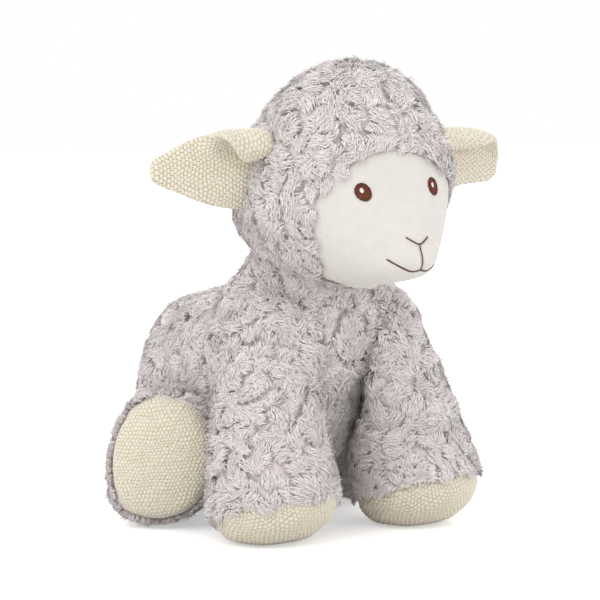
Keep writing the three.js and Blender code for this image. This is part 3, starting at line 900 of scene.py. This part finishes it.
def stem_stitches(line):
    """Starts and ends of overlapping stitches along a line."""
    run = np.concatenate([[0], np.cumsum(np.linalg.norm(np.diff(line, axis=0), axis=1))])
    count = max(int(round((run[-1] - STEM_STITCH) / STEM_STEP)), 1)
    starts = np.linspace(0, run[-1] - STEM_STITCH, count + 1)

    def at(distance):
        return np.stack([np.interp(distance, run, line[:, 0]), np.interp(distance, run, line[:, 1])], axis=1)
    return at(starts), at(starts + STEM_STITCH)


def both_halves(half, left_share=1):
    """The whole line from its left half, whose outer end may be left short."""
    left = half[:int(len(half) * left_share)]
    return np.vstack([half[::-1] * [-1, 1], left[1:]])


nose_half = smooth_line(NOSE_SHARES, OUTLINE_STEPS) * [NOSE_WIDTH / 2, NOSE_DROP] + [0, NOSE_LEVEL]
upright = smooth_line([(0, NOSE_LEVEL), (0.0003, 0.197), (0.0001, 0.190), (0, MOUTH_LEVEL)], OUTLINE_STEPS)
sew_stitches("nose_thread", stem_stitches(both_halves(nose_half)), NOSE_LAYER, DARK_THREAD,
             "nose_stitching")
sew_stitches("mouth_thread", stem_stitches(both_halves(MOUTH_LINE, LEFT_MOUTH_SHARE)), MOUTH_LAYER,
             DARK_THREAD, "mouth_stitching")
sew_stitches("upright_thread", stem_stitches(upright), UPRIGHT_LAYER, DARK_THREAD)

# Ears. A leaf of cream seed-stitch knit, lightly padded, pinched together at the
# root and sewn into the side of the head, with its upper front edge rolled over.
KNIT_WIDTH = 0.0032
KNIT_HEIGHT = 0.0025
KNIT_RELIEF = 0.00125
KNIT_STEP = 0.00062
KNIT_DRIFT = 0.0008
LOOP_DRIFT = 0.00022
LOOP_HALF_WIDTH = 0.54
LOOP_HALF_HEIGHT = 0.60
LOOP_ROUNDNESS = 0.6
LOOP_UNEVENNESS = 0.14
# the colour down in the holes between the loops is painted shade
KNIT_HOLE_SHADE = (0.55, 0.46, 0.30)
KNIT_LOOP = (0.83, 0.78, 0.665)
EAR_ROOT = np.array([0.0585, -0.132, 0.251])
EAR_RUN = np.array([0.077, 0.020, -0.003])
EAR_WIDTH = 0.058
EAR_THICKNESS = 0.0056
EAR_START = 0.03
EAR_CUP_TURN = 3.0
EAR_LIP_TURN = 4.0
EAR_LOWER_TURN = 0.55
EAR_CLOTH_WIDTH = 0.078
EAR_CLOTH_LENGTH = 0.072
EAR_ROWS = int(EAR_CLOTH_LENGTH / KNIT_STEP)
EAR_COLUMNS = int(EAR_CLOTH_WIDTH / KNIT_STEP) // 2 * 2 + 1
EAR_TIP_CUP = 0.12
EAR_LIP_ROLL = 0.042
EAR_ROLL_BENT = 0.82
EAR_ROLL_START = 0.35
EAR_ROOT_END = 0.3
EAR_EDGE_ROUND = 0.42
EAR_LIP_END = 0.13
EAR_LIP_REACH = 0.03
EAR_ROOT_SLANT = 0.07
EAR_LEAST_WIDTH = 0.0006
RIGHT_EAR = {
    "reach_of_lip": 0.60,
    "run_of_lip": 0.52,
    "share_of_lip": 1.4,
    "shares": ((0, 0.96, 0.74), (0.20, 0.98, 0.77), (0.31, 0.95, 0.78), (0.45, 0.86, 0.78),
               (0.57, 0.75, 0.73), (0.77, 0.52, 0.53), (0.88, 0.44, 0.43), (1, 0.40, 0.40)),
}
LEFT_EAR = {
    "reach_of_lip": 1.15,
    "run_of_lip": 0.72,
    "share_of_lip": 1.1,
    "shares": ((0, 0.70, 0.65), (0.20, 0.70, 0.72), (0.36, 0.62, 0.74), (0.57, 0.50, 0.73),
               (0.77, 0.46, 0.66), (0.88, 0.49, 0.56), (1, 0.52, 0.45)),
}


def seed_stitch(along, across, seed):
    """Height of the knit, from 0 in the holes to 1 on the loops, at flat places."""
    flat = np.stack([along, across, np.full(len(along), seed * 0.1)], axis=1)
    along = along + slow_noise(flat, 0.020, seed) * KNIT_DRIFT
    along = along + slow_noise(flat, 0.0045, seed + 2) * LOOP_DRIFT
    across = across + slow_noise(flat, 0.024, seed + 1) * KNIT_DRIFT
    across = across + slow_noise(flat, 0.0040, seed + 3) * LOOP_DRIFT
    row = np.floor(across / KNIT_HEIGHT)
    shifted = along / KNIT_WIDTH + 0.5 * (row % 2)
    loop = np.floor(shifted)
    luck = np.abs(np.sin(row * 127.1 + loop * 311.7 + seed) * 43758.5) % 1
    off_along = (shifted - loop - 0.5) / LOOP_HALF_WIDTH
    off_across = (across / KNIT_HEIGHT - row - 0.5) / LOOP_HALF_HEIGHT
    bead = np.clip(1 - off_along ** 2 - off_across ** 2, 0, 1) ** LOOP_ROUNDNESS
    return bead * (1 - LOOP_UNEVENNESS + LOOP_UNEVENNESS * luck)


def dressed_as_knit(tree):
    """Cream cotton yarn, paler on the loops, with painted shade down in the holes between them that makes
    the holes darker and yellower.
    """
    relief = add_node(tree, "Attribute", {}, attribute_name="loop_height").outputs["Fac"]
    yarn = uneven_tone(tree, scale=1500, detail=3)
    return {"Base Color": colours_by(tree, relief, (0, KNIT_HOLE_SHADE), (0.75, KNIT_LOOP)),
            "Normal": bumps(tree, yarn, strength=0.4, distance=0.0003)}


CREAM_KNIT = add_material("cream_knit", dressed_as_knit, roughness=0.9, specular=0.15, sheen=0.25)


def knit_relief(mesh, height):
    """Raises the loops of the knit and keeps their height, which the colour follows to paint shade in the
    holes.
    """
    mesh.materials.append(CREAM_KNIT)
    raised = vertex_rows(mesh, "co") + vertex_rows(mesh, "normal") * (height * KNIT_RELIEF)[:, None]
    mesh.vertices.foreach_set("co", raised.ravel())
    layer = mesh.attributes.new("loop_height", "FLOAT", "POINT")
    layer.data.foreach_set("value", height)
    mesh.update()


def ear_leaf(along, across, face_side, side, shape):
    """Places on the ear from shares along it and across it, on its front or back.
    Each row of its shares is a place along it, then its lower and its upper breadth."""
    rows = np.linspace(0, 1, EAR_ROWS)
    columns = np.linspace(-1, 1, EAR_COLUMNS)
    share = EAR_START + (1 - EAR_START) * rows
    line = smooth_line(shape["shares"], OUTLINE_STEPS)
    upper = columns[None] > 0
    low, high = (np.interp(share, line[:, 0], line[:, i])[:, None] for i in (1, 2))
    width = np.where(upper, high, low) * EAR_WIDTH / 2
    width *= np.sqrt(np.clip(1 - np.clip(2 * share - 1, 0, 1) ** 4, 0, 1))[:, None] ** 0.8
    width = np.maximum(width, EAR_LEAST_WIDTH)
    cup = (EAR_CUP_TURN * (1 - share) ** 2 + EAR_TIP_CUP) / EAR_WIDTH
    cup = cup[:, None] * np.where(upper, 1, -EAR_LOWER_TURN)
    # the upper edge rolls over, less and less towards the tip, and takes more cloth
    taper = np.clip((shape["reach_of_lip"] - rows) / shape["run_of_lip"], 0, 1)[:, None]
    turning = np.maximum(EAR_LIP_TURN * taper, 0.01)
    rolled = np.minimum(EAR_LIP_ROLL, width * shape["share_of_lip"])
    bent = rolled * EAR_ROLL_BENT
    breadth = width + bent * (1 - np.sin(np.minimum(turning, math.pi / 2)) / turning) * upper
    from_edge = breadth * (1 - columns[None])
    roll = np.clip((rolled - from_edge) / (rolled * EAR_ROLL_START), 0, 1) * upper
    bend = cup + roll * turning / bent
    # the bends add up across the leaf, from its middle outwards
    step = breadth * (columns[1] - columns[0])
    middle = EAR_COLUMNS // 2
    turn = np.cumsum(bend * step, axis=1)
    turn -= turn[:, middle:middle + 1]
    bow = np.cumsum(np.stack([np.cos(turn), np.sin(turn)]) * step, axis=2)
    bow -= bow[:, :, middle:middle + 1]
    grown = np.where(upper, width[:, -1:] / bow[0].max(axis=1, keepdims=True), 1)
    bow, breadth = bow * grown, breadth * grown
    # the roll draws in to a rounded end by the root, and reaches forward there
    lip = roll * taper
    fold = np.maximum(lip.sum(axis=1, keepdims=True), 1e-6)
    round_end = np.sqrt(np.clip(1 - np.clip(1 - rows / EAR_LIP_END, 0, 1) ** 2, 0.02, 1))[:, None]
    pull = lip * (1 - round_end)
    bow += pull * ((bow * lip).sum(axis=2, keepdims=True) / fold - bow)
    slant = EAR_LIP_REACH * lip + EAR_ROOT_SLANT * np.clip(columns[None] + 0.6, 0, 1) * (1 - lip)
    along_root = share[:, None] - slant * np.clip(1 - rows / EAR_ROOT_END, 0, 1)[:, None] ** 2
    # the filling thins out to the edges
    edge = np.clip(1 - columns ** 2, 0, 1) ** EAR_EDGE_ROUND
    ends = np.clip(rows / 0.03, 0, 1) ** 0.5 * np.clip((1 - rows) / 0.05, 0, 1) ** 0.5
    i = np.rint(along * (EAR_ROWS - 1)).astype(int)
    j = np.rint((across + 1) / 2 * (EAR_COLUMNS - 1)).astype(int)
    thick = EAR_THICKNESS / 2 * edge[j] * ends[i] * face_side
    up = bow[0, i, j] - np.sin(turn[i, j]) * thick
    out = bow[1, i, j] + np.cos(turn[i, j]) * thick
    run = EAR_RUN * [side, 1, 1]
    axis = run / np.linalg.norm(run)
    rise = np.array([0, 0, 1.0]) - axis * axis[2]
    rise /= np.linalg.norm(rise)
    front = np.cross(axis, rise) * side
    place = EAR_ROOT * [side, 1, 1] + run * along_root[i, j][:, None]
    place = place + rise * up[:, None] + front * out[:, None]
    flat = np.stack([share[i] * np.linalg.norm(run), across * breadth[i, j]], axis=1)
    return head_frame(place, HEAD_TURN), flat


def knitted_ear(label, side, shape):
    """A front and a back of knit, joined along their edges into one leaf."""
    leaf = bmesh.new()
    bmesh.ops.create_grid(leaf, x_segments=EAR_ROWS - 1, y_segments=EAR_COLUMNS - 1, size=1)
    bmesh.ops.duplicate(leaf, geom=leaf.verts[:] + leaf.edges[:] + leaf.faces[:])
    flat = np.array([v.co[:2] for v in leaf.verts])
    face_side = np.repeat([1, -1], len(flat) // 2)
    places, cloth = ear_leaf((flat[:, 0] + 1) / 2, flat[:, 1], face_side, side, shape)
    height = seed_stitch(cloth[:, 1], cloth[:, 0], 3 + side)
    edge = np.minimum(1 - np.abs(flat[:, 1]), np.minimum(flat[:, 0] + 1, 1 - flat[:, 0]))
    height = np.where(edge < 1e-4, 0.5, height)
    kept = leaf.verts.layers.float.new("height")
    for vert, place, level in zip(leaf.verts, places, height):
        vert.co = place
        vert[kept] = level
    bmesh.ops.remove_doubles(leaf, verts=leaf.verts, dist=0.00002)
    bmesh.ops.recalc_face_normals(leaf, faces=leaf.faces)
    height = np.array([v[kept] for v in leaf.verts])
    leaf.verts.layers.float.remove(leaf.verts.layers.float["height"])
    mesh = mesh_of(leaf, f"ear_knit_{label}")
    knit_relief(mesh, height)
    ear = add_piece(f"ear_knit_{label}", mesh)
    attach(ear, f"ear_{label}")
    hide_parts(f"ear_{label}")


knitted_ear("right", -1, RIGHT_EAR)
knitted_ear("left", 1, LEFT_EAR)

# Front legs. A plush sleeve over its filling, sewn to the shoulder and closed below
# by a domed sole of the cream knit. The pile hangs down over the sole's seam.
FRONT_SOLE_AT = np.array([0.0607, -0.1238, 0.0210])
FRONT_SOLE_WAY = np.array([0.027, -0.307, -0.951])
LEFT_LEG_LEAD = np.array([0, -0.008, 0])
SOLE_REACH = 0.064
SOLE_DEPTH = 0.036
SOLE_ROUND = 0.054
SOLE_SEARCH = 0.12
SOLE_WIDEST_ANGLE = 1.6
SOLE_TUCK = 0.0032
SOLE_GRAIN = 0.5
SOLE_STUFFING_INSET = 0.0006
HEM_PULL = 0.12
HEM_DEPTH = 0.002
FRONT_SEAM_BACK = {"right": 0.0008, "left": 0.0055}
UP = Vector((0, 0, 1))
FRONT_LEG_LUMPS = (
    ((0.026, -0.135, 0.122), (0.012, 0.030, 0.036), (-0.0080, 0.0, 0.0)),
    ((0.078, -0.132, 0.142), (0.020, 0.040, 0.020), (-0.0070, 0.0, -0.0020)),
    ((0.034, -0.132, 0.152), (0.016, 0.020, 0.024), (-0.0050, -0.0030, 0.0)),
)
LEFT_LEG_LUMPS = (
    ((0.044, -0.138, 0.104), (0.022, 0.020, 0.020), (-0.0030, -0.0055, 0.0)),
    ((0.098, -0.125, 0.082), (0.014, 0.040, 0.030), (0.0040, -0.0010, 0.0)),
    ((0.050, -0.152, 0.069), (0.030, 0.020, 0.005), (0.0025, 0.0035, 0.0)),
)


def sole_tree(label, lumps):
    """The stuffed end of a leg, that the knit of its sole is laid over."""
    nodes = [f"{label}_stuffing", f"{label}_sole"]
    form = stuffed_form("form", nodes, SOLE_STUFFING_INSET, step=0.003, rounds=14)
    push_lumps(form, lumps)
    return search_tree(form)


def knitted_sole(label, centre, way, lumps, seam_back):
    """A disc of knit laid over the stuffed end of a leg and turned in at its seam."""
    tree = sole_tree(label, lumps)
    disc = bmesh.new()
    steps = int(SOLE_REACH * 2 / KNIT_STEP)
    bmesh.ops.create_grid(disc, x_segments=steps, y_segments=steps, size=SOLE_REACH)
    flat = np.array([v.co[:2] for v in disc.verts])
    axis = Vector(way).normalized()
    side = axis.cross(UP if abs(axis.z) < 0.9 else Vector((0, 1, 0))).normalized()
    over = side.cross(axis)
    seam = Vector(centre)
    start = seam - axis * SOLE_DEPTH
    tuck = SOLE_TUCK + seam_back
    off = np.empty(len(flat))
    for i, vert in enumerate(disc.verts):
        distance = math.hypot(*flat[i])
        turn = (side * flat[i, 0] + over * flat[i, 1]) / max(distance, 1e-9)
        angle = min(distance / SOLE_ROUND, SOLE_WIDEST_ANGLE)
        hit = tree.ray_cast(start, axis * math.cos(angle) + turn * math.sin(angle), SOLE_SEARCH)[0]
        vert.co = hit if hit is not None else start
        off[i] = (vert.co - seam).dot(axis)
    kept = off >= -tuck
    flat = flat[kept]
    cut_away(disc, kept)
    face_towards(disc, axis)
    mesh = mesh_of(disc, f"{label}_knit")
    cos, sin = math.cos(SOLE_GRAIN), math.sin(SOLE_GRAIN)
    flat = flat @ np.array([[cos, -sin], [sin, cos]])
    knit_relief(mesh, seed_stitch(flat[:, 1], flat[:, 0], 11))
    turn_in(mesh, seam, axis, tuck)
    return add_piece(f"{label}_knit", mesh)


def turn_in(mesh, seam, axis, tuck):
    """Turns the raw edge of the knit in under the pile and closes it on itself."""
    disc = bmesh.new()
    disc.from_mesh(mesh)
    edges = [e for e in disc.edges if e.is_boundary]
    hem = bmesh.ops.extrude_edge_only(disc, edges=edges)["geom"]
    for vert in only_verts(hem):
        middle = seam + axis * (vert.co - seam).dot(axis)
        vert.co = vert.co.lerp(middle, HEM_PULL) - axis * HEM_DEPTH
    hem_edges = [g for g in hem if isinstance(g, bmesh.types.BMEdge)]
    inner = bmesh.ops.extrude_edge_only(disc, edges=hem_edges)["geom"]
    bmesh.ops.pointmerge(disc, verts=only_verts(inner), merge_co=seam - axis * tuck)
    bmesh.ops.recalc_face_normals(disc, faces=disc.faces)
    disc.to_mesh(mesh)
    disc.free()
    mesh.shade_smooth()


def add_leg(label, centre, way, comb, panels, neighbours, seed, lumps, seam_back, trim=None):
    """A stuffed leg: its backing, its pile down to the seam of the sole, and the sole."""
    way = way / np.linalg.norm(way)
    nodes = [f"{label}_cover", f"{label}_stuffing", f"{label}_sole"]
    backing = add_backing(f"{label}_backing", nodes, label)
    push_lumps(backing, lumps)

    def on_sole(roots):
        return (roots - centre) @ way > -seam_back

    add_plush(label, backing, label, seed, panels, comb, neighbours, on_sole, trim)
    sole = knitted_sole(label, centre, way, lumps, seam_back)
    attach(sole, label)
    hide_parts(f"{label}_sole")


def sided_lumps(lumps, side):
    return [(np.array(at) * [side, 1, 1], width, np.array(push) * [side, 1, 1]) for at, width, push in lumps]


for side, label in ((-1, "right"), (1, "left")):
    name = f"front_leg_{label}"
    centre = FRONT_SOLE_AT * [side, 1, 1] + (LEFT_LEG_LEAD if side > 0 else 0)
    around = {
        "outer": lambda p, side=side, middle=centre[0]: (p[:, 0] - middle) * side >= 0,
        "inner": lambda p, side=side, middle=centre[0]: (p[:, 0] - middle) * side < 0,
    }
    others = [TORSO_TREE, HEAD_TREE, LEG_TREES[f"hind_leg_{label}"]]
    lumps = sided_lumps(FRONT_LEG_LUMPS, side) + list(LEFT_LEG_LUMPS if side > 0 else ())
    add_leg(name, centre, FRONT_SOLE_WAY * [side, 1, 1], combed(0, -0.15, -1), around, others,
            CURL_SEED + 400 + side, lumps, FRONT_SEAM_BACK[label])

# Hind legs. The same plush and knit, sewn low on the sides of the torso. They lie on
# the floor and point outwards and ahead, so that each shows the whole of its sole.
HIND_SOLE_AT = np.array([0.0915, -0.0413, 0.0500])
HIND_SOLE_WAY = np.array([0.759, -0.651, 0])
HIND_SEAM_BACK = 0.0040
HIND_SEAM_LEVEL = 0.05
UPRIGHT_REACH = 0.016
UPRIGHT_LIE = 0.25
HIND_PILE_DROP = 0.35
HIND_LEG_LUMPS = (
    ((0.072, -0.008, 0.016), (0.030, 0.024, 0.020), (0.0080, 0.0110, -0.0010)),
    ((0.098, -0.006, 0.006), (0.016, 0.016, 0.010), (0.0060, 0.0040, -0.0020)),
)

for side, label in ((-1, "right"), (1, "left")):
    name = f"hind_leg_{label}"
    centre = HIND_SOLE_AT * [side, 1, 1]
    way = HIND_SOLE_WAY * [side, 1, 1]

    def upright_by_seam(roots, centre=centre, way=way / np.linalg.norm(way)):
        back = -(roots - centre) @ way - HIND_SEAM_BACK
        return 1, UPRIGHT_LIE + (1 - UPRIGHT_LIE) * np.clip(back / UPRIGHT_REACH, 0, 1)

    around = {
        "upper": lambda p: p[:, 2] >= HIND_SEAM_LEVEL,
        "lower": lambda p: p[:, 2] < HIND_SEAM_LEVEL,
    }
    others = [TORSO_TREE, LEG_TREES[f"front_leg_{label}"]]
    add_leg(name, centre, way, combed(*(way - [0, 0, HIND_PILE_DROP])), around, others,
            CURL_SEED + 500 + side, sided_lumps(HIND_LEG_LUMPS, side), HIND_SEAM_BACK, upright_by_seam)

# Tail. A short stuffed tuft of the same plush, sewn low on the back, with its pile
# standing taller than that round it.
TAIL_INSET = 0.0012
TAIL_RISE = 1.2
TAIL_LIE = 0.5
tail = add_backing("tail_backing", ["tail"], "tail", inset=TAIL_INSET)
add_plush("tail", tail, "tail", CURL_SEED + 600, {"tuft": lambda p: np.ones(len(p), bool)},
          combed(0, 0.6, -0.8), [TORSO_TREE], trim=lambda roots: (TAIL_RISE, TAIL_LIE))

# Studio. A sheet of pale paper under an even white light, with three broad soft lamps
# and the camera where the photograph's was.
VIEW_TURN = math.radians(-40)
VIEW_DROP = math.radians(5)
VIEW_DISTANCE = 1.8
VIEW_CENTRE = Vector((0, -0.080, 0.165))
VIEW_WIDTH = 0.414
IMAGE_SIZE = 600
SENSOR_WIDTH = 36
CENTRE_PIXEL = (303, 286)
SKY_POWER = 0.98
FLOOR_REACH = 6
FLOOR_DROP = 0.0008
PAPER_WHITE = (0.88, 0.87, 0.865)
PAPER_GLOW = 0.45

camera_data = bpy.data.cameras.new("camera")
camera_data.sensor_width = SENSOR_WIDTH
camera_data.lens = SENSOR_WIDTH * VIEW_DISTANCE / VIEW_WIDTH
camera_data.shift_x = (IMAGE_SIZE / 2 - CENTRE_PIXEL[0]) / IMAGE_SIZE
camera_data.shift_y = (CENTRE_PIXEL[1] - IMAGE_SIZE / 2) / IMAGE_SIZE
camera = add_piece("camera", camera_data)
back = Vector((math.sin(VIEW_TURN) * math.cos(VIEW_DROP),
               -math.cos(VIEW_TURN) * math.cos(VIEW_DROP),
               math.sin(VIEW_DROP)))
camera.location = VIEW_CENTRE + back * VIEW_DISTANCE
camera.rotation_mode = "QUATERNION"
camera.rotation_quaternion = (-back).to_track_quat("-Z", "Y")
bpy.context.scene.camera = camera


def soft_lamp(name, place, size, power):
    lamp_data = bpy.data.lights.new(name, "AREA")
    lamp_data.shape = "DISK"
    lamp_data.size = size
    lamp_data.energy = power
    lamp = add_piece(name, lamp_data)
    lamp.location = place
    lamp.rotation_mode = "QUATERNION"
    lamp.rotation_quaternion = (VIEW_CENTRE - Vector(place)).to_track_quat("-Z", "Y")


soft_lamp("window", (-1.5, -0.75, 1.45), size=1.3, power=8.5)
soft_lamp("fill", (1.6, -1.2, 0.5), size=1.6, power=5)
soft_lamp("back_window", (0.9, 1.3, 1.1), size=1.6, power=13)

world = bpy.data.worlds.new("studio")
bpy.context.scene.world = world
world.use_nodes = True
tree = world.node_tree
WHITE = (1, 1, 1, 1)
sky = with_inputs(tree, tree.nodes["Background"], {"Color": WHITE, "Strength": SKY_POWER}).outputs[0]
seen = add_node(tree, "Background", {"Color": WHITE, "Strength": 1}).outputs[0]
ray = add_node(tree, "LightPath", {})
sees_white = ray.outputs["Is Camera Ray"]
for kind in ("Is Glossy Ray", "Is Transmission Ray"):
    either = {0: sees_white, 1: ray.outputs[kind]}
    sees_white = add_node(tree, "Math", either, operation="MAXIMUM").outputs[0]
choice = add_node(tree, "MixShader", {"Fac": sees_white, 1: sky, 2: seen}).outputs[0]
with_inputs(tree, tree.nodes["World Output"], {"Surface": choice})

floor_shape = bmesh.new()
bmesh.ops.create_grid(floor_shape, x_segments=1, y_segments=1, size=FLOOR_REACH)
floor = add_piece("floor", mesh_of(floor_shape, "floor"))
floor.location.z = -FLOOR_DROP


def floor_material():
    """Pale paper that the camera sees as white, with the toy's soft shadow on it."""
    material = bpy.data.materials.new("floor_paper")
    material.use_nodes = True
    tree = material.node_tree
    tree.nodes.remove(tree.nodes["Principled BSDF"])
    paper = add_node(tree, "BsdfDiffuse", {"Color": (*PAPER_WHITE, 1)}).outputs[0]
    lit = add_node(tree, "LightPath", {}).outputs["Is Camera Ray"]
    level = add_node(tree, "Math", {0: lit, 1: PAPER_GLOW}, operation="MULTIPLY").outputs[0]
    glow = add_node(tree, "Emission", {"Color": WHITE, "Strength": level}).outputs[0]
    both = add_node(tree, "AddShader", {0: paper, 1: glow}).outputs[0]
    with_inputs(tree, tree.nodes["Material Output"], {"Surface": both})
    return material


floor.data.materials.append(floor_material())

bpy.context.scene.view_settings.view_transform = "Standard"
